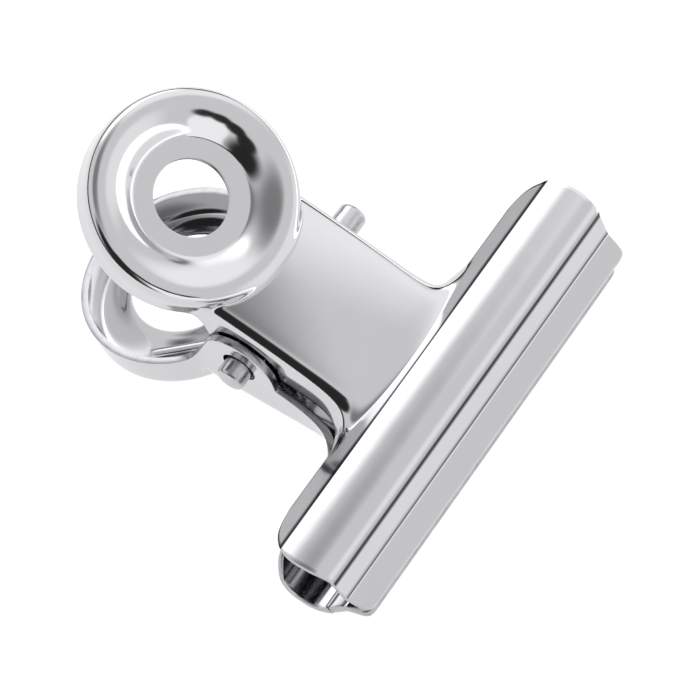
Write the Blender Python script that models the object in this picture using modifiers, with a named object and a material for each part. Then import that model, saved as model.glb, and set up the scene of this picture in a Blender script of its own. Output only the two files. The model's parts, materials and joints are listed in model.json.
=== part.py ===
"""Round-head letter clip: two identical pressed steel leaves on a pin, held shut by a coil spring.

The clip is drawn in its own frame, centred on the pin: x runs along the pin, y from
the jaws to the finger pads, z from the lower leaf to the upper one. It then leans
over until the lower leaf rests on the table by its jaw and by the rim of its pad.
"""

import math

import bmesh
import bpy
from mathutils import Matrix, Vector

MM = 0.001

# Driving dimensions, in millimetres and degrees
SHEET = 0.5                # thickness of the pressed steel
JAW_WIDTH = 31.5           # at its widest; the clip's nominal size is 1 1/4 inch
LIP_GAP = 0.3              # left between the closed lips
PIN_ABOVE_LIPS = 16.45

LIP_LENGTH = 1.68          # flat lip, up to the lower crease
LIP_ANGLE = 21.5           # each angle is measured from the clip's middle plane
BAND_LENGTH = 1.8          # flat band between the two creases
BAND_ANGLE = 59.0
CURL_LENGTH = 4.58         # the bulge above the upper crease
CURL_ANGLES = (45.0, 10.0, -8.0, -24.0)
SHOULDER_LENGTH = 1.53     # the plate above the curl, up to the free edge
SHOULDER_ANGLE = -38.0
LIP_INSETS = (0.77, 0.5, 0.36)  # the jaw's ends draw in at the lip's edge, lower crease and upper crease
SHOULDER_CORNER = 2.8      # rounding of the free corners

NECK_WIDTH = 10.2
NECK_ARCH = 0.15           # how much higher the middle of the neck is than its sides
NECK_BULGE = 0.2           # how far the neck bows out between the shoulder and the pad
NECK_FOOT = (0.3, 0.75)    # shares of the shoulder below the neck, at the neck's middle and at its sides
FOLD_DROP = 1.0            # depth over which the neck turns down into its flange
FLANGE_EDGE = 0.3          # the flange stops this far short of the middle plane
FLANGE_SHARES = (0.75, 0.95, 1.0)  # how much of its depth it has at its first rows above the shoulder
FLANGE_FLARES = (0.42, 0.12, 0.03)  # and how much of the fillet is left there
FILLET = 2.6               # concave corner between the flange and the shoulder

EAR_HALF_WIDTH = 2.7       # the lobe of the flange that holds the pin
EAR_REACH = 2.55           # how far the lobe goes past the pin's axis
SIDE_GAP = 0.3             # between the flanges that pass side by side

PAD_DIAMETER = 14.2
PAD_HOLE = 5.2
PAD_FLOOR = 8.0            # diameter of the flat floor of the dished pad
PAD_RIM = 12.2             # diameter of the crest of its rolled rim
RIM_HEIGHT = 1.15          # crest above the floor
RIM_FLAT = 0.35            # half width of the rounded top of the rim
RIM_MERGE = 1.05           # the middle of the neck runs into the rim this far above the floor
MERGE_SPREAD = 1.07        # and the rim falls away beside it within this many times the neck's arc
SKIRT_DEPTH = 1.6          # edge below the floor
SKIRT_FLARE = 0.15
PAD_RISE = 7.6             # pad centre past the pin, along the clip
PAD_STAND_OFF = 6.5        # pad centre from the middle plane
PAD_TILT = 22.0

PIN_DIAMETER = 2.0
PIN_PLAY = 0.25            # round the pin, in the holes of the ears
PIN_STICK_OUT = 1.1        # past the outer ears, at the left end
PIN_EXTRA = 1.5            # more than that at the right end
PIN_CHAMFER = 0.25

WIRE = 0.85
COIL_PLAY = 0.35           # between the pin and the inside of the coil
COIL_SIDE_PLAY = 0.15      # between the coil and the flanges
COIL_TURN_COUNT = 5        # whole turns, before the part turn that sets the legs apart
COIL_POINT_COUNT = 9       # for each turn
LEG_REACH = 6.6            # tip of each leg past the pin, along the clip
LEG_STAND_OFF = 4.7        # tip of each leg from the middle plane
LEG_SPLAY = 0.5            # sideways run of a leg for each millimetre past the ears

# The cage of a leaf, in cells
NECK_CELL_COUNT = 4        # across the top of the neck, and the arc where it joins the pad
PAD_CELL_COUNT = 16        # round the pad
FLANGE_CELL_COUNT = 2
WING_CELL_COUNT = 3        # from the neck's fillet to the end of the jaw
FLANGE_ROWS = (0.24, 0.48, 0.73)  # shares of the way from the shoulder to the foot of the ears
EAR_ROWS = (-1.25, -0.85, -0.45, 0.0, 0.4, 0.75)  # shares of the ear's half width
EAR_LOBE = (0.08, 0.8, 1.04, 0.88, 0.3)  # shares of the ear's reach, at its last five rows
BOW_FADE = 0.17            # loss of the rows' bow at each row away from the pad
CAGE_EXCESS = 1.08         # a lone crest of the cage is drawn higher, because subdivision lowers it
CREASE_SHARPNESS = 1.0
CREASE_AT_CORNER = 0.3     # the shoulder's crease dies out at the rounded corners
SMOOTHING_COUNT = 1

pinRadius = PIN_DIAMETER / 2
neckHalf = NECK_WIDTH / 2
jawHalf = JAW_WIDTH / 2
padRadius = PAD_DIAMETER / 2
leafShift = (SHEET + SIDE_GAP) / 2
tilt = math.radians(PAD_TILT)
neckAngle = math.asin(neckHalf / padRadius)


def emptyScene():
    for thing in list(bpy.data.objects):
        bpy.data.objects.remove(thing, do_unlink=True)


def makeCollection(name):
    collection = bpy.data.collections.new(name)
    bpy.context.scene.collection.children.link(collection)
    return collection


def plainMetal(name, colour, roughness):
    material = bpy.data.materials.new(name)
    material.use_nodes = True
    shader = material.node_tree.nodes["Principled BSDF"]
    shader.inputs["Base Color"].default_value = (*colour, 1.0)
    shader.inputs["Roughness"].default_value = roughness
    shader.inputs["Metallic"].default_value = 1.0
    return material


def addObject(name, mesh, collection, parent=None):
    thing = bpy.data.objects.new(name, mesh)
    collection.objects.link(thing)
    thing.parent = parent
    return thing


# The pad

def spreadOut(radius):
    """A cage ring is drawn larger, because subdivision draws it in."""
    return radius * 3 / (2 + math.cos(2 * math.pi / PAD_CELL_COUNT))


def neckLift(angle):
    """How much of its lift to the neck the outer rim has: all at the neck's middle, none away from it."""
    away = min(abs(angle), 2 * math.pi - abs(angle))
    return max(0.0, 1 - (away / (MERGE_SPREAD * neckAngle)) ** 2)


def padRings(angle):
    """Radius and height of each ring of the pad's cage, from the hole to the skirt's edge."""
    hole = PAD_HOLE / 2
    floor = PAD_FLOOR / 2
    crest = PAD_RIM / 2
    slope = (floor + crest) / 2
    outer = padRadius + SKIRT_FLARE / 2
    lift = neckLift(angle)
    return [
        (hole, 0.0),
        (hole + (floor - hole) * 0.6, 0.0),
        (floor, 0.0),
        (slope, RIM_HEIGHT / 2),
        (crest - RIM_FLAT, RIM_HEIGHT * CAGE_EXCESS),
        ((crest + padRadius) / 2, RIM_HEIGHT * CAGE_EXCESS),
        (outer - SKIRT_FLARE * lift, (RIM_HEIGHT + RIM_MERGE * lift) / 2),
        (padRadius, RIM_MERGE * lift),
        (outer, -SKIRT_DEPTH / 2),
        (padRadius + SKIRT_FLARE, -SKIRT_DEPTH),
    ]


def padPoint(ring, angle):
    """A point on a ring, with the angle measured from the side that faces the jaws."""
    radius, height = padRings(angle)[ring]
    radius = spreadOut(radius)
    along = -radius * math.cos(angle)
    return Vector((
        radius * math.sin(angle),
        PAD_RISE + along * math.cos(tilt) - height * math.sin(tilt),
        PAD_STAND_OFF + along * math.sin(tilt) + height * math.cos(tilt),
    ))


def padAngle(cell):
    """Even steps across the neck's arc, then even steps round the rest."""
    halfNeck = NECK_CELL_COUNT // 2
    if cell <= NECK_CELL_COUNT:
        return neckAngle * (cell - halfNeck) / halfNeck
    freeArc = 2 * math.pi - 2 * neckAngle
    return neckAngle + freeArc * (cell - NECK_CELL_COUNT) / (PAD_CELL_COUNT - NECK_CELL_COUNT)


def gridIndex(vert, acrossCells, alongCells):
    column = round((vert.co.x + 1) / 2 * acrossCells)
    row = round((vert.co.y + 1) / 2 * alongCells)
    return column, row


def padCage():
    """A grid bent round into the dished pad, with no skirt where the neck joins it."""
    cage = bmesh.new()
    rows = len(padRings(0.0)) - 1
    floorRow = 2
    bmesh.ops.create_grid(cage, x_segments=PAD_CELL_COUNT, y_segments=rows, size=1.0)
    place = {vert: gridIndex(vert, PAD_CELL_COUNT, rows) for vert in cage.verts}
    wallRow = rows - FLANGE_CELL_COUNT
    joined = [
        face for face in cage.faces
        if min(place[vert][1] for vert in face.verts) >= wallRow
        and max(place[vert][0] for vert in face.verts) <= NECK_CELL_COUNT
    ]
    crease = cage.edges.layers.float.new("crease_edge")
    for edge in cage.edges:
        if all(place[vert][1] == floorRow for vert in edge.verts):
            edge[crease] = CREASE_SHARPNESS
    bmesh.ops.delete(cage, geom=joined, context="FACES")
    for vert in cage.verts:
        cell, ring = place[vert]
        vert.co = padPoint(ring, padAngle(cell))
    bmesh.ops.remove_doubles(cage, verts=cage.verts, dist=0.01)
    return cage


# The jaw and the neck

def jawStations():
    """Distance above the lip's edge and from the middle plane of each bend of the jaw."""
    height = 0.0
    out = LIP_GAP / 2 + SHEET * math.cos(math.radians(LIP_ANGLE))
    stations = [(height, out)]
    bends = [(LIP_LENGTH, LIP_ANGLE), (BAND_LENGTH, BAND_ANGLE)]
    bends += [(CURL_LENGTH / len(CURL_ANGLES), angle) for angle in CURL_ANGLES]
    bends += [(SHOULDER_LENGTH, SHOULDER_ANGLE)]
    for length, angle in bends:
        height += length * math.cos(math.radians(angle))
        out += length * math.sin(math.radians(angle))
        stations.append((height, out))
    return [(height - PIN_ABOVE_LIPS, out) for height, out in stations]


def neckRows():
    """Height of each neck row at the side of the neck, from the shoulder up to the pad."""
    shoulder = jawStations()[-1][0]
    padCorner = padPoint(-FLANGE_CELL_COUNT - 1, neckAngle).y
    ear = [EAR_HALF_WIDTH * share for share in EAR_ROWS]
    flange = [shoulder + (ear[0] - shoulder) * share for share in FLANGE_ROWS]
    return flange + ear + [padCorner]


def flangeEdges():
    """How far past the pin the flange's edge is at each neck row, or None for its usual place."""
    lobe = [-EAR_REACH * share for share in EAR_LOBE]
    plain = len(FLANGE_ROWS) + len(EAR_ROWS) - len(EAR_LOBE)
    return [None] * plain + lobe + [None]


def neckFoot(share):
    """Where the neck rises from the shoulder, with share 0 at the neck's middle and 1 at its side."""
    (low, outLow), (high, outHigh) = jawStations()[-2:]
    middle, side = NECK_FOOT
    reach = middle + (side - middle) * share ** 2
    return low + (high - low) * reach, outLow + (outHigh - outLow) * reach


def neckOut(height):
    """The middle of the neck rises from the shoulder to the pad's rim, bowed out a little."""
    low, valley = neckFoot(0.0)
    top = padPoint(-FLANGE_CELL_COUNT - 1, 0.0)
    share = (height - low) / (top.y - low)
    return valley + (top.z - valley) * share + 4 * NECK_BULGE * share * (1 - share)


def neckPoint(column, row, rows):
    """A point of the neck: column 0 is its middle, and the last two are on its flange."""
    side = -1 if column < 0 else 1
    steps = abs(column)
    foldStep = NECK_CELL_COUNT // 2
    angle = neckAngle * min(steps, foldStep) / foldStep
    topRow = len(rows) - 1
    if row == topRow:
        ring = len(padRings(angle)) - FLANGE_CELL_COUNT - 1 + max(0, steps - foldStep)
        return padPoint(ring, side * angle)
    # The rows bow towards the jaw as they near the round edge of the pad
    bow = padPoint(-FLANGE_CELL_COUNT - 1, neckAngle).y - padPoint(-FLANGE_CELL_COUNT - 1, angle).y
    height = rows[row] - bow * max(0.0, 1 - BOW_FADE * (topRow - row))
    across = spreadOut(padRadius) * math.sin(angle)
    half = spreadOut(padRadius) * math.sin(neckAngle)
    out = neckOut(height) - NECK_ARCH * (across / half) ** 2
    if steps <= foldStep:
        return Vector((side * across, height, out))
    edge = flangeEdges()[row]
    # Near the shoulder the flange grows shallow and flares out into the fillet
    deep, flared = 1.0, 0.0
    if row < len(FLANGE_ROWS):
        deep, flared = FLANGE_SHARES[row], FLANGE_FLARES[row]
    if edge is None:
        edge = out - (out - FLANGE_EDGE) * deep
    flare = FILLET * flared
    if steps == foldStep + 1:
        drop = min(FOLD_DROP, (out - edge) / 2)
        return Vector((side * (half + flare / 2), height, out - drop))
    return Vector((side * (half + flare), height, edge))


def jawPoint(column, row, stations):
    """A point of the jaw: the outer columns are pulled in where the corners are rounded."""
    side = -1 if column < 0 else 1
    steps = abs(column)
    height, out = stations[row]
    foldStep = NECK_CELL_COUNT // 2
    half = spreadOut(padRadius) * math.sin(neckAngle)
    if steps <= foldStep:
        across = spreadOut(padRadius) * math.sin(neckAngle * steps / foldStep)
        if row == len(stations) - 1:
            height, out = neckFoot(steps / foldStep)
        return Vector((side * across, height, out))
    fillet = half + FILLET
    if steps <= foldStep + FLANGE_CELL_COUNT:
        across = half + FILLET * (steps - foldStep) / FLANGE_CELL_COUNT
        return Vector((side * across, height, out))
    end = jawHalf - (LIP_INSETS[row] if row < len(LIP_INSETS) else 0)
    share = (steps - foldStep - FLANGE_CELL_COUNT) / WING_CELL_COUNT
    across = fillet + (end - fillet) * share
    if row == len(stations) - 1 and share == 1:
        below, outBelow = stations[row - 1]
        # A point pulled back by this part of a corner's radius is rounded off by the subdivision
        pull = (1 - math.cos(math.pi / 4)) * SHOULDER_CORNER
        length = math.hypot(height - below, out - outBelow)
        across -= pull / 2
        height += (below - height) * pull / length
        out += (outBelow - out) * pull / length
    return Vector((side * across, height, out))


def sheetCage():
    """One grid for the neck and the jaw, with creases along the bends of the jaw."""
    stations = jawStations()
    rows = neckRows()
    halfNeck = NECK_CELL_COUNT // 2
    neckReach = halfNeck + FLANGE_CELL_COUNT
    jawReach = neckReach + WING_CELL_COUNT
    jawRows = len(stations) - 1
    allRows = jawRows + len(rows)
    cage = bmesh.new()
    bmesh.ops.create_grid(cage, x_segments=2 * jawReach, y_segments=allRows, size=1.0)
    place = {}
    for vert in cage.verts:
        column, row = gridIndex(vert, 2 * jawReach, allRows)
        place[vert] = (column - jawReach, row)
    cut = [
        face for face in cage.faces
        if min(place[vert][1] for vert in face.verts) >= jawRows
        and max(abs(place[vert][0]) for vert in face.verts) > neckReach
    ]
    crease = cage.edges.layers.float.new("crease_edge")
    lipBend, bandBend, curlBend = 1, 2, 2 + len(CURL_ANGLES)
    for edge in cage.edges:
        (firstColumn, firstRow), (lastColumn, lastRow) = (place[vert] for vert in edge.verts)
        if firstRow == lastRow and firstRow in (lipBend, bandBend, curlBend):
            nearEnd = max(abs(firstColumn), abs(lastColumn)) == jawReach
            atCorner = nearEnd and firstRow == curlBend
            edge[crease] = CREASE_AT_CORNER if atCorner else CREASE_SHARPNESS
    bmesh.ops.delete(cage, geom=cut, context="FACES")
    for vert in cage.verts:
        column, row = place[vert]
        if row <= jawRows:
            vert.co = jawPoint(column, row, stations)
        else:
            vert.co = neckPoint(column, row - jawRows - 1, rows)
    return cage


def leafMesh():
    """The pad's cage and the sheet's cage, welded along the edge that they share."""
    sheet = sheetCage()
    pad = padCage()
    padMesh = bpy.data.meshes.new("pad_cage")
    pad.to_mesh(padMesh)
    pad.free()
    sheet.from_mesh(padMesh)
    bpy.data.meshes.remove(padMesh)
    bmesh.ops.remove_doubles(sheet, verts=sheet.verts, dist=0.01)
    bmesh.ops.recalc_face_normals(sheet, faces=sheet.faces)
    neckTop = Vector((0, 0, neckOut(0)))
    middle = min(sheet.faces, key=lambda face: (face.calc_center_median() - neckTop).length)
    if middle.normal.z < 0:
        bmesh.ops.reverse_faces(sheet, faces=sheet.faces)
    bmesh.ops.translate(sheet, verts=sheet.verts, vec=(leafShift, 0, 0))
    bmesh.ops.scale(sheet, verts=sheet.verts, vec=(MM, MM, MM))
    mesh = bpy.data.meshes.new("leaf")
    sheet.to_mesh(mesh)
    sheet.free()
    return mesh


def pinHoleCutter(collection, parent):
    """One bar that cuts the pin's hole through both ears of a leaf."""
    bar = bmesh.new()
    bmesh.ops.create_cone(
        bar,
        cap_ends=True,
        segments=24,
        radius1=(pinRadius + PIN_PLAY) * MM,
        radius2=(pinRadius + PIN_PLAY) * MM,
        depth=2 * NECK_WIDTH * MM,
        matrix=Matrix.Rotation(math.pi / 2, 4, "Y"),
    )
    mesh = bpy.data.meshes.new("pin_hole")
    bar.to_mesh(mesh)
    bar.free()
    cutter = addObject("pin_hole", mesh, collection, parent)
    cutter.display_type = "WIRE"
    cutter.hide_render = True
    return cutter


def addLeaf(name, mesh, cutter, collection, parent, material):
    leaf = addObject(name, mesh.copy(), collection, parent)
    leaf.data.materials.append(material)
    smooth = leaf.modifiers.new("pressed_form", "SUBSURF")
    smooth.levels = SMOOTHING_COUNT
    smooth.render_levels = SMOOTHING_COUNT
    wall = leaf.modifiers.new("sheet", "SOLIDIFY")
    wall.thickness = SHEET * MM
    wall.offset = -1.0
    wall.use_even_offset = True
    hole = leaf.modifiers.new("pin_holes", "BOOLEAN")
    hole.operation = "DIFFERENCE"
    hole.object = cutter
    leaf.data.shade_smooth()
    return leaf


# The pin and the spring

def addPin(collection, parent, material):
    """A plain round pin with chamfered ends, across both leaves."""
    outerEar = neckHalf + leafShift
    left = -outerEar - PIN_STICK_OUT
    right = outerEar + PIN_STICK_OUT + PIN_EXTRA
    middle = Matrix.Translation(((left + right) / 2 * MM, 0, 0))
    bar = bmesh.new()
    bmesh.ops.create_cone(
        bar,
        cap_ends=True,
        segments=20,
        radius1=pinRadius * MM,
        radius2=pinRadius * MM,
        depth=(right - left) * MM,
        matrix=middle @ Matrix.Rotation(math.pi / 2, 4, "Y"),
    )
    mesh = bpy.data.meshes.new("hinge_pin")
    bar.to_mesh(mesh)
    bar.free()
    pin = addObject("hinge_pin", mesh, collection, parent)
    mesh.materials.append(material)
    chamfer = pin.modifiers.new("chamfer", "BEVEL")
    chamfer.width = PIN_CHAMFER * MM
    chamfer.segments = 1
    chamfer.limit_method = "ANGLE"
    mesh.shade_smooth()
    mesh.set_sharp_from_angle(angle=math.radians(35))
    return pin


def springPath():
    """Points from the tip of the lower leg, round the coil, to the tip of the upper leg."""
    coilRadius = pinRadius + COIL_PLAY + WIRE / 2
    tipDistance = math.hypot(LEG_REACH, LEG_STAND_OFF)
    tipAngle = math.atan2(LEG_STAND_OFF, LEG_REACH)
    legAngle = tipAngle - math.asin(coilRadius / tipDistance)
    halfTurn = (COIL_TURN_COUNT / 2 + 0.25) * 2 * math.pi - legAngle
    innerFlange = neckHalf - SHEET - leafShift
    coilHalf = innerFlange - COIL_SIDE_PLAY - WIRE / 2
    points = []
    steps = round(2 * halfTurn / (2 * math.pi) * COIL_POINT_COUNT)
    for step in range(steps + 1):
        turn = halfTurn * (1 - 2 * step / steps)
        points.append(Vector((
            -coilHalf * turn / halfTurn,
            coilRadius * math.cos(turn),
            coilRadius * math.sin(turn),
        )))
    legLength = math.sqrt(tipDistance ** 2 - coilRadius ** 2)
    pastEars = (EAR_HALF_WIDTH + coilRadius * math.sin(legAngle)) / math.cos(legAngle)
    upper = []
    for run in (WIRE, pastEars, (pastEars + legLength) / 2, legLength):
        sideways = LEG_SPLAY * max(0.0, run - pastEars)
        upper.append(points[-1] + Vector((sideways, run * math.cos(legAngle), run * math.sin(legAngle))))
    lower = [Vector((-point.x, point.y, -point.z)) for point in reversed(upper)]
    return lower + points + upper


def leastGap(points, diameter):
    """Least gap between turns: the nearest two path points more than half a turn apart, less the wire."""
    apart = COIL_POINT_COUNT // 2
    nearest = min(
        (points[first] - points[second]).length
        for first in range(len(points))
        for second in range(first + apart + 1, len(points))
    )
    return nearest - diameter


def addSpring(collection, parent, material):
    points = springPath()
    print("spring: least gap to itself %.2f mm" % leastGap(points, WIRE))
    curve = bpy.data.curves.new("torsion_spring", "CURVE")
    curve.dimensions = "3D"
    curve.bevel_depth = WIRE / 2 * MM
    curve.bevel_resolution = 1
    curve.use_fill_caps = True
    spline = curve.splines.new("POLY")
    spline.points.add(len(points) - 1)
    for vertex, point in zip(spline.points, points):
        vertex.co = (*(point * MM), 1.0)
    curve.materials.append(material)
    return addObject("torsion_spring", curve, collection, parent)


# The whole clip

def evaluatedPoints(thing):
    """The finished shape's corners, in the frame of the pin."""
    graph = bpy.context.evaluated_depsgraph_get()
    solid = thing.evaluated_get(graph)
    mesh = solid.to_mesh()
    points = [thing.matrix_basis @ vert.co for vert in mesh.vertices]
    solid.to_mesh_clear()
    return points


def restingLean(points):
    """The lean at which the lower leaf touches the table with its jaw and its pad alike."""
    low, high = 0.0, math.radians(45)
    for _ in range(40):
        lean = (low + high) / 2
        sine, cosine = math.sin(lean), math.cos(lean)
        jaw = min(point.y * sine + point.z * cosine for point in points if point.y < 0)
        pad = min(point.y * sine + point.z * cosine for point in points if point.y > 0)
        if pad < jaw:
            low = lean
        else:
            high = lean
    return (low + high) / 2


def standOnTable(axis, things):
    """Leans the clip over and puts the middle of its footprint at the origin."""
    bpy.context.view_layer.update()
    points = [point for thing in things for point in evaluatedPoints(thing)]
    axis.rotation_euler.x = restingLean(points)
    turned = [Matrix.Rotation(axis.rotation_euler.x, 3, "X") @ point for point in points]
    middleY = (min(point.y for point in turned) + max(point.y for point in turned)) / 2
    bottom = min(point.z for point in turned)
    axis.location = (0, -middleY, -bottom)


emptyScene()
parts = makeCollection("letter_clip")
cutters = makeCollection("cutters")
nickelled = plainMetal("nickel_plated_steel", (0.72, 0.72, 0.73), 0.12)
springSteel = plainMetal("plated_spring_wire", (0.66, 0.66, 0.67), 0.2)
rivetSteel = plainMetal("pin_steel", (0.6, 0.6, 0.61), 0.28)

pinAxis = bpy.data.objects.new("pin_axis", None)
parts.objects.link(pinAxis)
shape = leafMesh()
cutter = pinHoleCutter(cutters, pinAxis)
frontLeaf = addLeaf("front_leaf", shape, cutter, parts, pinAxis, nickelled)
backLeaf = addLeaf("back_leaf", shape, cutter, parts, pinAxis, nickelled)
backLeaf.rotation_euler.y = math.pi
pin = addPin(parts, pinAxis, rivetSteel)
spring = addSpring(parts, pinAxis, springSteel)
standOnTable(pinAxis, [frontLeaf, backLeaf, pin, spring])
bpy.context.view_layer.update()
print("pin axis at %.5f %.5f %.5f m, lean %.3f degrees" % (
    *pinAxis.matrix_world.translation, math.degrees(pinAxis.rotation_euler.x)))
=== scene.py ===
import json
import math

import bmesh
import bpy
from mathutils import Euler, Matrix, Vector


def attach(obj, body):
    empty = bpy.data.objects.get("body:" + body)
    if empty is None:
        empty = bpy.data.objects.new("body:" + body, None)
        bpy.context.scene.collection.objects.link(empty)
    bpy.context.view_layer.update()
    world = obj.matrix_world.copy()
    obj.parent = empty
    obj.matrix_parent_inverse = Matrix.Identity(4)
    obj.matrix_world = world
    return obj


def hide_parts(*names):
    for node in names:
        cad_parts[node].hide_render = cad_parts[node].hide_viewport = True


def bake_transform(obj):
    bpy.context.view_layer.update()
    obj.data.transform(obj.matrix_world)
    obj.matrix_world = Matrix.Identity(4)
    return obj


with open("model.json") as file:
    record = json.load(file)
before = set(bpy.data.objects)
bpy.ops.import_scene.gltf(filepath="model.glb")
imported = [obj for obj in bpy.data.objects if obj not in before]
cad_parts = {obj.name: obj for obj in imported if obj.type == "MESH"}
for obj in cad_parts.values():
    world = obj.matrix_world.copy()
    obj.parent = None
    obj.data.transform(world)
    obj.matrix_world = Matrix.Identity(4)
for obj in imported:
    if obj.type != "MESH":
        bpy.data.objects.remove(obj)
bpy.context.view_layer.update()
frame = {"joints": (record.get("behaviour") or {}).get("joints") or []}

# Every piece is modelled in millimetres round the pin: x along the pin, y from the jaw to the
# pads, z out to the upper leaf. The clip then leans over onto its lower jaw and lower pad.
pinPlace = Vector(frame["joints"][0]["pos_m"])
lean = math.radians(13.853)
inMetres = Matrix.Scale(0.001, 4)
clipPlace = Matrix.Translation(pinPlace) @ Matrix.Rotation(lean, 4, "X") @ inMetres
turnedOver = Matrix.Rotation(math.pi, 4, "Y")
alongPin = Matrix.Rotation(math.pi / 2, 4, "Y")
sharpAngle = math.radians(60)  # edges that turn more than this are cut edges, not bends
mixFrom, mixTo, mixResult = 6, 7, 2  # the colour sockets of a Mix node


def linearColour(hexValue):
    channels = [int(hexValue[place:place + 2], 16) / 255 for place in (1, 3, 5)]
    linear = [part / 12.92 if part <= 0.04045 else ((part + 0.055) / 1.055) ** 2.4 for part in channels]
    return (*linear, 1)


def grey(value):
    return (value, value, value, 1)


def patternScale(millimetres):
    return 1000 / millimetres  # a Noise node counts its features to the metre


def addNode(tree, kind, settings=None, links=None):
    node = tree.nodes.new(kind)
    for name, value in (settings or {}).items():
        if isinstance(name, int) or name in node.inputs:
            node.inputs[name].default_value = value
        else:
            setattr(node, name, value)
    for name, source in (links or {}).items():
        tree.links.new(source, node.inputs[name])
    return node


def newMaterial(name):
    material = bpy.data.materials.new(name)
    material.use_nodes = True
    tree = material.node_tree
    shader = tree.nodes["Principled BSDF"]
    place = addNode(tree, "ShaderNodeTexCoord")
    return material, tree, shader, place.outputs["Object"]


def makeNickelPlate():
    # Nickel plate on pressed, barrel-polished sheet: a mirror that is a little wavy from the press,
    # with a faint haze, and painted shade: dark lines painted along the sheet's creases
    material, tree, shader, place = newMaterial("nickelPlatedPressedSteel")
    # the barrel leaves its haze in clouds nearly 4 mm across
    haze = addNode(tree, "ShaderNodeTexNoise", {"Scale": patternScale(3.85), "Detail": 3.0},
                   {"Vector": place})
    tone = addNode(tree, "ShaderNodeMix", {
        "data_type": "RGBA", mixFrom: linearColour("#D0D0D2"), mixTo: linearColour("#CACACD"),
    }, {"Factor": haze.outputs["Fac"]})
    # painted shade: the leaf's mesh says how dark each crease is painted
    creaseShadeMask = addNode(tree, "ShaderNodeAttribute", {"attribute_name": "paintedCreaseShade"})
    line = addNode(tree, "ShaderNodeMapRange", {"From Min": 0.15, "From Max": 0.9},
                   {"Value": creaseShadeMask.outputs["Fac"]})
    # painted shade: the creases' colour is drawn towards a near-black grey
    creaseShaded = addNode(tree, "ShaderNodeMix", {"data_type": "RGBA", mixTo: linearColour("#3C3C40")},
                    {"Factor": line.outputs["Result"], mixFrom: tone.outputs[mixResult]})
    tree.links.new(creaseShaded.outputs[mixResult], shader.inputs["Base Color"])
    gloss = addNode(tree, "ShaderNodeMapRange", {"To Min": 0.05, "To Max": 0.13},
                    {"Value": haze.outputs["Fac"]})
    tree.links.new(gloss.outputs["Result"], shader.inputs["Roughness"])
    shader.inputs["Metallic"].default_value = 1.0
    # the press leaves shallow waves about 2.4 mm apart
    wave = addNode(tree, "ShaderNodeTexNoise", {"Scale": patternScale(2.38), "Detail": 1.0},
                   {"Vector": place})
    press = addNode(tree, "ShaderNodeBump", {"Strength": 0.08, "Distance": 0.0001},
                    {"Height": wave.outputs["Fac"]})
    tree.links.new(press.outputs["Normal"], shader.inputs["Normal"])
    return material


def makeShearedEdge():
    # The sheet's sheared edge, plated over: half burnished, half torn, so it is duller and darker
    material, tree, shader, place = newMaterial("shearedSheetEdge")
    # real tears are about 0.1 mm wide, too fine to show, so these are drawn 0.67 mm wide
    torn = addNode(tree, "ShaderNodeTexNoise", {"Scale": patternScale(0.67), "Detail": 4.0},
                   {"Vector": place})
    tone = addNode(tree, "ShaderNodeMix", {
        "data_type": "RGBA", mixFrom: linearColour("#8E8E92"), mixTo: linearColour("#C6C6CA"),
    }, {"Factor": torn.outputs["Fac"]})
    tree.links.new(tone.outputs[mixResult], shader.inputs["Base Color"])
    gloss = addNode(tree, "ShaderNodeMapRange", {"To Min": 0.15, "To Max": 0.4},
                    {"Value": torn.outputs["Fac"]})
    tree.links.new(gloss.outputs["Result"], shader.inputs["Roughness"])
    shader.inputs["Metallic"].default_value = 1.0
    return material


def makeSpringWire():
    # Drawn spring wire, nickel plated: the die's marks give it a duller gleam than the sheet's
    material, tree, shader, place = newMaterial("platedSpringWire")
    # real marks are about 0.05 mm apart, too fine to show, so these are drawn 0.56 mm apart
    marks = addNode(tree, "ShaderNodeTexNoise", {"Scale": patternScale(0.56), "Detail": 4.0},
                    {"Vector": place})
    tone = addNode(tree, "ShaderNodeMix", {
        "data_type": "RGBA", mixFrom: linearColour("#C9C9CB"), mixTo: linearColour("#B4B4B8"),
    }, {"Factor": marks.outputs["Fac"]})
    tree.links.new(tone.outputs[mixResult], shader.inputs["Base Color"])
    gloss = addNode(tree, "ShaderNodeMapRange", {"To Min": 0.14, "To Max": 0.26},
                    {"Value": marks.outputs["Fac"]})
    tree.links.new(gloss.outputs["Result"], shader.inputs["Roughness"])
    shader.inputs["Metallic"].default_value = 1.0
    return material


def makePinSteel():
    # Cropped steel wire, tumbled and plated: a satin side and rough, dented ends
    material, tree, shader, place = newMaterial("tumbledPinSteel")
    # real dents are about 0.2 mm across, too fine to show, so these are drawn 1.1 mm across
    dents = addNode(tree, "ShaderNodeTexNoise", {"Scale": patternScale(1.11), "Detail": 5.0},
                    {"Vector": place})
    tone = addNode(tree, "ShaderNodeMix", {
        "data_type": "RGBA", mixFrom: linearColour("#D0D0D2"), mixTo: linearColour("#A9A9AD"),
    }, {"Factor": dents.outputs["Fac"]})
    tree.links.new(tone.outputs[mixResult], shader.inputs["Base Color"])
    gloss = addNode(tree, "ShaderNodeMapRange", {"To Min": 0.15, "To Max": 0.35},
                    {"Value": dents.outputs["Fac"]})
    tree.links.new(gloss.outputs["Result"], shader.inputs["Roughness"])
    shader.inputs["Metallic"].default_value = 1.0
    pits = addNode(tree, "ShaderNodeBump", {"Strength": 0.5, "Distance": 0.0001},
                   {"Height": dents.outputs["Fac"]})
    tree.links.new(pits.outputs["Normal"], shader.inputs["Normal"])
    return material


pressedSteel = (makeNickelPlate(), makeShearedEdge())  # a leaf's faces, and its cut edges
springWire = makeSpringWire()
pinSteel = makePinSteel()
print("materials made")


def asObject(shape, name):
    mesh = bpy.data.meshes.new(name)
    shape.to_mesh(mesh)
    shape.free()
    thing = bpy.data.objects.new(name, mesh)
    bpy.context.scene.collection.objects.link(thing)
    return thing


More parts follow.
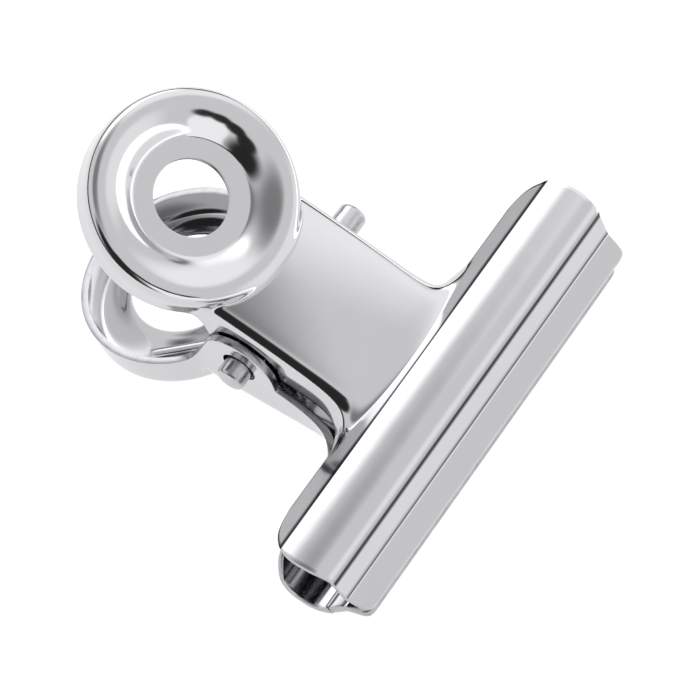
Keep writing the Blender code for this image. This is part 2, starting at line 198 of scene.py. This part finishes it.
def asShape(thing):
    # the object's mesh with its modifiers worked in
    shape = bmesh.new()
    shape.from_object(thing, bpy.context.evaluated_depsgraph_get())
    bpy.data.objects.remove(thing)
    return shape


def cutEdges(shape):
    return [edge for edge in shape.edges if edge.is_manifold and edge.calc_face_angle() > sharpAngle]


def roundEdges(shape, edges, size, segments):
    bmesh.ops.bevel(shape, geom=edges, offset=size, offset_type="OFFSET", segments=segments,
                    profile=0.5, affect="EDGES", material=-1, clamp_overlap=True)


def placePiece(name, shape, materials, slot, body, *nodes):
    bmesh.ops.transform(shape, matrix=clipPlace, verts=shape.verts)
    piece = asObject(shape, name)
    for material in materials:
        piece.data.materials.append(material)
    piece.data.shade_smooth()
    piece.data.set_sharp_from_angle(angle=sharpAngle)  # the drilled holes keep their sharp edges
    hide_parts(*nodes)
    if body:
        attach(piece, body)
    return piece


# The leaves: one pressing each, drawn as a cage whose rows follow the bends
leaf = {
    "sheet": 0.5, "edgeRound": 0.07,
    "jawHalf": 15.75, "lipGap": 0.3, "pinAboveLips": 16.45,
    # each run of the jaw's section, from the lip up: length, angle and where extra rows go
    "jawRuns": (
        (1.68, 21.5, (0.45, 0.82, 0.94)), (1.8, 59.0, (0.06, 0.18, 0.55, 0.8, 0.92)),
        (0.22, 74.0, (0.5,)), (0.54, 42.0, (0.25,)), (0.54, 24.0, ()), (0.54, 10.0, ()), (0.54, 0.0, ()),
        (0.54, -7.0, ()), (0.54, -12.0, ()), (0.54, -17.0, ()), (0.54, -22.0, (0.6, 0.84)),
        (1.53, -38.0, (0.07, 0.25, 0.6, 0.82)),
    ),
    # rows darkened with painted shade along the creases, and how dark each is
    "paintedCreaseRows": {5: 0.9, 6: 0.2, 9: 0.3, 10: 1.0, 11: 1.0, 12: 0.9, 13: 0.4, 23: 1.0, 24: 1.0},
    # how far the jaw's ends draw in, at each distance up the section from the lip
    "lipInsets": ((0.0, 0.77), (1.68, 0.5), (3.48, 0.36), (5.6, 0.0)),
    "corner": 2.8,  # the round at the shoulder's ends
    "lowerTrim": 0.85,  # the lower jaw ends this much short at the left
    "neckHalf": 5.1, "neckArch": 0.4, "neckBulge": 0.2,
    "neckFoot": (0.4, 0.8),  # where the neck leaves the shoulder: in its middle and at its sides
    "fold": (0.5, 1.15),  # depths at which the neck's side has turned down
    "foldShare": 0.28,  # the most of a shallow flange that one step of the fold takes
    "flangeEdge": 0.3, "flangeGrow": 1.25, "growFrom": 0.33,
    "fillet": 2.6, "filletFade": 1.08,
    "ear": 2.7, "earReach": 2.55, "earHole": 1.25,
    "earLean": 0.18, "leanReach": 2.2,  # the outer ear leans in, over this many times its half width
    "shift": 0.4,  # each leaf stands this much to its own side, so that the ears overlap
    "padRadius": 7.1, "padRise": 7.6, "padOut": 6.5, "padTilt": math.radians(22.0),
    # the pad's section from the hole to the skirt's edge: radius and height above the floor,
    # and the rim as it is where the neck runs into it
    "padSection": (
        (2.6, 0.0), (3.1, 0.0), (3.6, 0.0), (3.88, 0.0), (4.02, 0.05), (4.3, 0.25), (4.75, 0.57),
        (5.3, 0.87), (5.85, 1.08), (6.35, 1.16), (6.85, 1.04), (7.12, 0.7), (7.18, 0.2),
    ),
    "padMerged": ((6.45, 1.08), (6.72, 0.99), (6.95, 0.94), (7.15, 0.92)),
    "mergeSpread": 1.07,
    "bowReach": 6.4,  # the pad's round fades out this far down the neck
    "skirt": ((7.18, -0.4), (7.18, -0.8), (7.19, -1.2), (7.2, -1.6)),
    # the neck's rows, as shares of the way up to the ear and then of the ear's half width
    "footRows": (0.14, 0.23, 0.32, 0.43, 0.56, 0.71, 0.87),
    "earRows": (-1.25, -1.12, -1.03, -0.97, -0.88, -0.7, -0.45, -0.2, 0.05, 0.3, 0.52, 0.72, 0.88, 0.98),
    "topCells": 4, "flangeCells": 4, "wingCells": 7, "padCells": 32,
    "weld": 0.01, "smoothing": 2, "holeSides": 48, "drillLength": 24,
}
neckAngle = math.asin(leaf["neckHalf"] / leaf["padRadius"])
rimRing = len(leaf["padSection"]) - 1
padSection = leaf["padSection"] + leaf["skirt"]
outward = 3 / (2 + math.cos(2 * math.pi / leaf["padCells"]))  # subdivision draws a ring in by this


def padRing(ring, angle):
    # the outer rim is lifted where the neck meets it, and falls away to its skirt on both sides
    radius, height = padSection[ring]
    merged = ring - rimRing + len(leaf["padMerged"]) - 1
    if 0 <= merged < len(leaf["padMerged"]):
        away = min(abs(angle), 2 * math.pi - abs(angle))
        lift = max(0.0, 1 - (away / (leaf["mergeSpread"] * neckAngle)) ** 2)
        radius += lift * (leaf["padMerged"][merged][0] - radius)
        height += lift * (leaf["padMerged"][merged][1] - height)
    return radius, height


def padPoint(ring, angle):
    radius, height = padRing(ring, angle)
    along = -radius * outward * math.cos(angle)
    tilt = leaf["padTilt"]
    return Vector((
        radius * outward * math.sin(angle),
        leaf["padRise"] + along * math.cos(tilt) - height * math.sin(tilt),
        leaf["padOut"] + along * math.sin(tilt) + height * math.cos(tilt),
    ))


def jawRows():
    # each row: how far it is along the section from the lip, its height, and how far out it stands
    run, height = 0.0, -leaf["pinAboveLips"]
    out = leaf["lipGap"] / 2 + leaf["sheet"] * math.cos(math.radians(leaf["jawRuns"][0][1]))
    rows = [(run, height, out)]
    for length, degrees, stops in leaf["jawRuns"]:
        angle = math.radians(degrees)
        for stop in (*stops, 1.0):
            reach = length * stop
            rows.append((run + reach, height + reach * math.cos(angle), out + reach * math.sin(angle)))
        run, height, out = rows[-1]
    return rows


def jawEnd(run, total, trim):
    inset = 0.0
    for (low, first), (high, last) in zip(leaf["lipInsets"], leaf["lipInsets"][1:]):
        if low <= run < high:
            inset = first + (last - first) * (run - low) / (high - low)
    past = run - (total - leaf["corner"])
    if past > 0:
        inset = leaf["corner"] - math.sqrt(max(0.0, leaf["corner"] ** 2 - past ** 2))
    return leaf["jawHalf"] - trim - inset


def topAcross(share):
    return leaf["padRadius"] * outward * math.sin(neckAngle * share)


jaw = jawRows()
shoulderRows = len(leaf["jawRuns"][-1][2]) + 1
crest = jaw[-1 - shoulderRows]
shoulder = jaw[-1][1]
footSpan = leaf["earRows"][0] * leaf["ear"] - shoulder
padCorner = padPoint(rimRing, neckAngle).y
neckHeights = [shoulder + footSpan * share for share in leaf["footRows"]]
neckHeights += [leaf["ear"] * share for share in leaf["earRows"]]
neckHeights += [padCorner]


def neckFoot(share, row):
    # the shoulder's rows, drawn in to where the neck rises from it: share 0 is the middle of the neck
    run, height, out = jaw[row]
    middle, side = leaf["neckFoot"]
    reach = middle + (side - middle) * min(1.0, share) ** 2
    if share > 1:
        reach = side + (1 - side) * (share - 1)
    return crest[1] + (height - crest[1]) * reach, crest[2] + (out - crest[2]) * reach


def neckOut(height):
    low, valley = neckFoot(0.0, -1)
    top = padPoint(rimRing, 0.0)
    share = (height - low) / (top.y - low)
    return valley + (top.z - valley) * share + 4 * leaf["neckBulge"] * share * (1 - share)


def flangeEdge(height, out):
    # the flange is shallow where it leaves the shoulder, and drops into a round ear at the pin
    grown = 1 - math.exp(-leaf["flangeGrow"] * (height - shoulder + leaf["growFrom"]))
    edge = out - (out - leaf["flangeEdge"]) * grown
    if abs(height) < leaf["ear"]:
        edge = min(edge, -leaf["earReach"] * math.sqrt(1 - (height / leaf["ear"]) ** 2))
    return edge


def neckPoint(column, row):
    side = -1 if column < 0 else 1
    share = min(abs(column), leaf["topCells"]) / leaf["topCells"]
    down = max(0, abs(column) - leaf["topCells"])
    downShare = down / leaf["flangeCells"]
    angle = neckAngle * share
    if row == len(neckHeights) - 1:
        return padPoint(rimRing + down, side * angle)
    bow = padCorner - padPoint(rimRing, angle).y
    height = neckHeights[row]
    height -= bow * max(0.0, 1 - (padCorner - neckHeights[row]) / leaf["bowReach"])
    across = topAcross(share)
    half = topAcross(1.0)
    out = neckOut(height) - leaf["neckArch"] * (across / half) ** 2
    edge = flangeEdge(height, out)
    near, far = leaf["fold"]
    drop = (0.0, near, far, (far + out - edge) / 2, out - edge)[down]
    if down in (1, 2):
        drop = min(drop, (out - edge) * down * leaf["foldShare"])
    if share == 1.0 and down == 0:
        across = half - near
    if down:
        across = half + leaf["fillet"] * math.exp(-leaf["filletFade"] * (height - shoulder)) * downShare
    if down > 1 and side > 0:
        # the outer ear is pinched in towards the inner one
        pinched = max(0.0, 1 - (height / (leaf["leanReach"] * leaf["ear"])) ** 2)
        across -= leaf["earLean"] * (down - 1) / (leaf["flangeCells"] - 1) * pinched
    return Vector((side * across, height, out - drop))


def jawPoint(column, row, trim):
    side = -1 if column < 0 else 1
    steps = abs(column)
    run, height, out = jaw[row]
    half = topAcross(1.0)
    onShoulder = row > len(jaw) - 1 - shoulderRows
    if steps <= leaf["topCells"]:
        across = topAcross(steps / leaf["topCells"])
        if onShoulder:
            height, out = neckFoot(steps / leaf["topCells"], row)
    elif steps <= leaf["topCells"] + leaf["flangeCells"]:
        past = (steps - leaf["topCells"]) / leaf["flangeCells"]
        across = half + leaf["fillet"] * past
        if onShoulder:
            height, out = neckFoot(1 + past, row)
    else:
        fillet = half + leaf["fillet"]
        share = (steps - leaf["topCells"] - leaf["flangeCells"]) / leaf["wingCells"]
        across = fillet + (jawEnd(run, jaw[-1][0], trim if side > 0 else 0) - fillet) * share
    return Vector((side * across, height, out))


def makeSheet(trim):
    # one grid for the jaw and the neck; the cells beside the neck are cut away
    neckReach = leaf["topCells"] + leaf["flangeCells"]
    reach = neckReach + leaf["wingCells"]
    jawCount = len(jaw) - 1
    count = jawCount + len(neckHeights)
    grid = bmesh.new()
    bmesh.ops.create_grid(grid, x_segments=2 * reach, y_segments=count, size=1.0)
    # painted shade: each point of the cage carries how dark its crease row is painted
    creaseShadeMask = grid.verts.layers.float.new("paintedCreaseShade")
    place = {
        vert: (round((vert.co.x + 1) * reach) - reach, round((vert.co.y + 1) / 2 * count))
        for vert in grid.verts
    }
    beside = [
        face for face in grid.faces
        if min(place[vert][1] for vert in face.verts) >= jawCount
        and max(abs(place[vert][0]) for vert in face.verts) > neckReach
    ]
    bmesh.ops.delete(grid, geom=beside, context="FACES")
    for vert in grid.verts:
        column, row = place[vert]
        vert.co = jawPoint(column, row, trim) if row <= jawCount else neckPoint(column, row - jawCount - 1)
        vert[creaseShadeMask] = leaf["paintedCreaseRows"].get(row, 0.0)
    return grid


def makePad():
    # a grid bent round into the dished pad, open where the neck joins its skirt
    cells, rings = leaf["padCells"], len(padSection) - 1
    neckCells = 2 * leaf["topCells"]
    grid = bmesh.new()
    bmesh.ops.create_grid(grid, x_segments=cells, y_segments=rings, size=1.0)
    place = {
        vert: (round((vert.co.x + 1) / 2 * cells), round((vert.co.y + 1) / 2 * rings))
        for vert in grid.verts
    }
    joined = [
        face for face in grid.faces
        if min(place[vert][1] for vert in face.verts) >= rimRing
        and max(place[vert][0] for vert in face.verts) <= neckCells
    ]
    bmesh.ops.delete(grid, geom=joined, context="FACES")
    freeStep = (2 * math.pi - 2 * neckAngle) / (cells - neckCells)
    for vert in grid.verts:
        cell, ring = place[vert]
        if cell <= neckCells:
            angle = neckAngle * (2 * cell / neckCells - 1)
        else:
            angle = neckAngle + freeStep * (cell - neckCells)
        vert.co = padPoint(ring, angle)
    bmesh.ops.remove_doubles(grid, verts=grid.verts, dist=leaf["weld"])
    return grid


def pressSheet(shape):
    # the cage is smoothed and given its thickness, inwards from the outer face
    blank = asObject(shape, "leafBlank")
    for material in pressedSteel:
        blank.data.materials.append(material)
    smooth = blank.modifiers.new("smooth", "SUBSURF")
    smooth.levels = smooth.render_levels = leaf["smoothing"]
    wall = blank.modifiers.new("wall", "SOLIDIFY")
    wall.thickness = leaf["sheet"]
    wall.offset = -1.0
    wall.use_even_offset = True
    wall.material_offset_rim = 1
    return asShape(blank)


def drillEars(shape):
    drill = bmesh.new()
    bmesh.ops.create_cone(drill, cap_ends=True, segments=leaf["holeSides"], radius1=leaf["earHole"],
                          radius2=leaf["earHole"], depth=leaf["drillLength"], matrix=alongPin)
    drillBit = asObject(drill, "drillBit")
    blank = asObject(shape, "leafBlank")
    for material in pressedSteel:
        blank.data.materials.append(material)
    hole = blank.modifiers.new("hole", "BOOLEAN")
    hole.operation = "DIFFERENCE"
    hole.object = drillBit
    drilled = asShape(blank)
    bpy.data.objects.remove(drillBit)
    return drilled


def makeLeaf(trim):
    shape = makeSheet(trim)
    pad = makePad()
    padMesh = bpy.data.meshes.new("padForm")
    pad.to_mesh(padMesh)
    pad.free()
    shape.from_mesh(padMesh)
    bpy.data.meshes.remove(padMesh)
    bmesh.ops.remove_doubles(shape, verts=shape.verts, dist=leaf["weld"])
    bmesh.ops.recalc_face_normals(shape, faces=shape.faces)
    top = Vector((0, 0, neckOut(0)))
    middle = min(shape.faces, key=lambda face: (face.calc_center_median() - top).length)
    if middle.normal.z < 0:
        bmesh.ops.reverse_faces(shape, faces=shape.faces)
    bmesh.ops.translate(shape, verts=shape.verts, vec=(leaf["shift"], 0, 0))
    shape = pressSheet(shape)
    roundEdges(shape, cutEdges(shape), leaf["edgeRound"], 2)
    return drillEars(shape)


upperLeaf = makeLeaf(0.0)
lowerLeaf = makeLeaf(leaf["lowerTrim"])
bmesh.ops.transform(lowerLeaf, matrix=turnedOver, verts=lowerLeaf.verts)
upper = placePiece("upperLeaf", upperLeaf, pressedSteel, "nickel_plated_steel", "upper_half", "front_leaf")
placePiece("lowerLeaf", lowerLeaf, pressedSteel, "nickel_plated_steel", "lower_half", "back_leaf")
print("leaves pressed, %d faces each" % len(upper.data.polygons))


# The pin: cropped wire, with a rounder end at the right
pin = {"radius": 1.0, "left": -6.6, "right": 8.1, "leftEdge": 0.24, "rightEdge": 0.42, "sides": 48}


def makePin():
    bar = bmesh.new()
    middle = Matrix.Translation(((pin["left"] + pin["right"]) / 2, 0, 0))
    bmesh.ops.create_cone(bar, cap_ends=True, segments=pin["sides"], radius1=pin["radius"],
                          radius2=pin["radius"], depth=pin["right"] - pin["left"], matrix=middle @ alongPin)
    rims = cutEdges(bar)
    for side, edgeRound in ((-1, pin["leftEdge"]), (1, pin["rightEdge"])):
        rim = [edge for edge in rims if edge.is_valid and edge.verts[0].co.x * side > 0]
        roundEdges(bar, rim, edgeRound, 4)
    # the bevels list what they make in a new order each run, so it is put in a fixed one
    corners = sorted(bar.verts, key=lambda vert: [round(part, 4) for part in vert.co])
    bar.verts.sort(key={vert: place for place, vert in enumerate(corners)}.get)
    faces = sorted(bar.faces, key=lambda face: [round(part, 4) for part in face.calc_center_median()])
    bar.faces.sort(key={face: place for place, face in enumerate(faces)}.get)
    return bar


placePiece("hingePin", makePin(), (pinSteel,), "pin_steel", "lower_half", "hinge_pin")
print("pin cropped")


# The spring: close coils round the pin, and a leg that splays out past the ears to each leaf
spring = {
    "wire": 0.85, "coilRadius": 1.775, "coilHalf": 3.625, "turns": 5,
    "legReach": 6.4, "legOut": 5.0, "legSplay": 0.66,
    "pointsPerTurn": 32, "legPoints": 24, "roundness": 5, "endRound": 0.08, "weld": 0.001,
}


def springPath():
    radius = spring["coilRadius"]
    tip = math.hypot(spring["legReach"], spring["legOut"])
    legAngle = math.atan2(spring["legOut"], spring["legReach"]) - math.asin(radius / tip)
    halfTurn = (spring["turns"] / 2 + 0.25) * 2 * math.pi - legAngle
    steps = round(2 * halfTurn / (2 * math.pi) * spring["pointsPerTurn"])
    coil = []
    for step in range(steps + 1):
        turn = halfTurn * (1 - 2 * step / steps)
        along = -spring["coilHalf"] * turn / halfTurn
        coil.append(Vector((along, radius * math.cos(turn), radius * math.sin(turn))))
    legLength = math.sqrt(tip ** 2 - radius ** 2)
    pastEars = (leaf["ear"] + radius * math.sin(legAngle)) / math.cos(legAngle)
    upperLeg = []
    for count in range(1, spring["legPoints"] + 1):
        run = legLength * count / spring["legPoints"]
        sideways = spring["legSplay"] * max(0.0, run - pastEars)
        upperLeg.append(coil[-1] + Vector((sideways, run * math.cos(legAngle), run * math.sin(legAngle))))
    lowerLeg = [Vector((-point.x, point.y, -point.z)) for point in reversed(upperLeg)]
    return lowerLeg + coil + upperLeg


def makeSpring():
    curve = bpy.data.curves.new("springForm", "CURVE")
    curve.dimensions = "3D"
    curve.bevel_depth = spring["wire"] / 2
    curve.bevel_resolution = spring["roundness"]
    curve.use_fill_caps = True
    path = springPath()
    line = curve.splines.new("POLY")
    line.points.add(len(path) - 1)
    for place, point in zip(line.points, path):
        place.co = (*point, 1.0)
    wire = bpy.data.objects.new("springWire", curve)
    bpy.context.scene.collection.objects.link(wire)
    graph = bpy.context.evaluated_depsgraph_get()
    shape = bmesh.new()
    shape.from_mesh(wire.evaluated_get(graph).to_mesh())
    bpy.data.objects.remove(wire)
    bmesh.ops.remove_doubles(shape, verts=shape.verts, dist=spring["weld"])
    roundEdges(shape, cutEdges(shape), spring["endRound"], 2)
    bmesh.ops.recalc_face_normals(shape, faces=shape.faces)
    return shape


wound = placePiece("torsionSpring", makeSpring(), (springWire,), "plated_spring_wire", None, "torsion_spring")
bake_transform(wound)
print("spring wound")


# The studio: a lit white table, and round it a pale room with soft white panels and dark flags
studio = {
    "camera": (-0.07178, -0.09553, 0.19141), "turn": (30.215, 10.253, -55.341), "lens": 173.26,
    "nearest": 0.01,
    "tableHalf": 0.6, "tableColour": "#808080", "tableRoughness": 0.8,
    # the table is lit more brightly to the right and in front, away from the clip
    "tableLight": "#FFFFFF", "tableGlow": 0.9, "farGlow": 1.7,
    "brightToward": (0.8, -0.6, 0), "brightens": (0.045, 0.055),
    "room": "#F3F3F3",
    # each panel: the way it lies, the angle it fills, the angle over which it fades, how bright it is
    "panels": (
        {"toward": (0.60, 0.62, 0.50), "fills": 20, "fades": 15, "glow": 2.2},
        {"toward": (0.45, -0.89, 0.05), "fills": 16, "fades": 16, "glow": 1.17},
        {"toward": (0.33, 0.93, 0.18), "fills": 13, "fades": 6, "glow": 0.95},
        {"toward": (0.75, -0.05, 0.65), "fills": 14, "fades": 20, "glow": 1.3},
        {"toward": (-0.10, 0.02, 1.00), "fills": 6, "fades": 26, "glow": 0.3},
        {"toward": (0.96, 0.26, 0.00), "fills": 13, "fades": 5, "glow": 0.04},
        {"toward": (-0.57, -0.79, 0.20), "fills": 16, "fades": 3, "glow": 1.35},
        {"toward": (-0.86, -0.10, 0.50), "fills": 19, "fades": 14, "glow": 0.03},
        # four small flags in a chain draw the dark arc in the upper pad's dish
        {"toward": (-0.60, -0.46, 0.66), "fills": 7, "fades": 4, "glow": 0.03},
        {"toward": (-0.50, -0.65, 0.58), "fills": 6, "fades": 3, "glow": 0.03},
        {"toward": (-0.39, -0.78, 0.49), "fills": 5, "fades": 3, "glow": 0.03},
        {"toward": (-0.29, -0.87, 0.39), "fills": 4, "fades": 4, "glow": 0.03},
    ),
    # a dark curtain hangs low behind and at both sides
    "curtain": {
        "toward": (-0.35, 0.94, 0), "from": -0.35, "to": -0.1, "low": 0.12, "high": 0.34, "glow": 0.03,
    },
}
floor = bmesh.new()
bmesh.ops.create_grid(floor, x_segments=1, y_segments=1, size=studio["tableHalf"])
table = asObject(floor, "whiteTable")
tableTop, tableTree, tableShader, tablePlace = newMaterial("litWhiteTable")
tableShader.inputs["Base Color"].default_value = linearColour(studio["tableColour"])
tableShader.inputs["Roughness"].default_value = studio["tableRoughness"]
tableShader.inputs["Emission Color"].default_value = linearColour(studio["tableLight"])
across = addNode(tableTree, "ShaderNodeVectorMath", {
    "operation": "DOT_PRODUCT", 1: studio["brightToward"],
}, {"Vector": tablePlace})
lit = addNode(tableTree, "ShaderNodeMapRange", {
    "From Min": studio["brightens"][0], "From Max": studio["brightens"][1],
    "To Min": studio["tableGlow"], "To Max": studio["farGlow"],
}, {"Value": across.outputs["Value"]})
tableTree.links.new(lit.outputs["Result"], tableShader.inputs["Emission Strength"])
table.data.materials.append(tableTop)

world = bpy.data.worlds.new("paleRoom")
world.use_nodes = True
roomTree = world.node_tree
background = roomTree.nodes["Background"]
way = addNode(roomTree, "ShaderNodeTexCoord").outputs["Generated"]
light = addNode(roomTree, "ShaderNodeRGB").outputs["Color"]
light.default_value = linearColour(studio["room"])
for panel in studio["panels"]:
    facing = addNode(roomTree, "ShaderNodeVectorMath", {
        "operation": "DOT_PRODUCT", 1: Vector(panel["toward"]).normalized(),
    }, {"Vector": way})
    share = addNode(roomTree, "ShaderNodeMapRange", {
        "interpolation_type": "SMOOTHSTEP",
        "From Min": math.cos(math.radians(panel["fills"] + panel["fades"])),
        "From Max": math.cos(math.radians(panel["fills"])),
    }, {"Value": facing.outputs["Value"]})
    mixed = addNode(roomTree, "ShaderNodeMix", {"data_type": "RGBA", mixTo: grey(panel["glow"])},
                    {"Factor": share.outputs["Result"], mixFrom: light})
    light = mixed.outputs[mixResult]
curtain = studio["curtain"]
height = addNode(roomTree, "ShaderNodeSeparateXYZ", None, {"Vector": way}).outputs["Z"]
lowDown = addNode(roomTree, "ShaderNodeMapRange", {
    "interpolation_type": "SMOOTHSTEP", "From Min": curtain["high"], "From Max": curtain["low"],
}, {"Value": height})
behind = addNode(roomTree, "ShaderNodeVectorMath", {
    "operation": "DOT_PRODUCT", 1: curtain["toward"],
}, {"Vector": way})
there = addNode(roomTree, "ShaderNodeMapRange", {
    "interpolation_type": "SMOOTHSTEP", "From Min": curtain["from"], "From Max": curtain["to"],
}, {"Value": behind.outputs["Value"]})
drawn = addNode(roomTree, "ShaderNodeMath", {"operation": "MULTIPLY"},
                {0: lowDown.outputs["Result"], 1: there.outputs["Result"]})
mixed = addNode(roomTree, "ShaderNodeMix", {"data_type": "RGBA", mixTo: grey(curtain["glow"])},
                {"Factor": drawn.outputs["Value"], mixFrom: light})
roomTree.links.new(mixed.outputs[mixResult], background.inputs["Color"])
bpy.context.scene.world = world
bpy.context.scene.view_settings.view_transform = "Standard"

cameraData = bpy.data.cameras.new("productCamera")
cameraData.lens = studio["lens"]
cameraData.clip_start = studio["nearest"]
camera = bpy.data.objects.new("productCamera", cameraData)
camera.location = studio["camera"]
camera.rotation_euler = Euler([math.radians(part) for part in studio["turn"]], "XYZ")
bpy.context.scene.collection.objects.link(camera)
bpy.context.scene.camera = camera
print("studio lit")
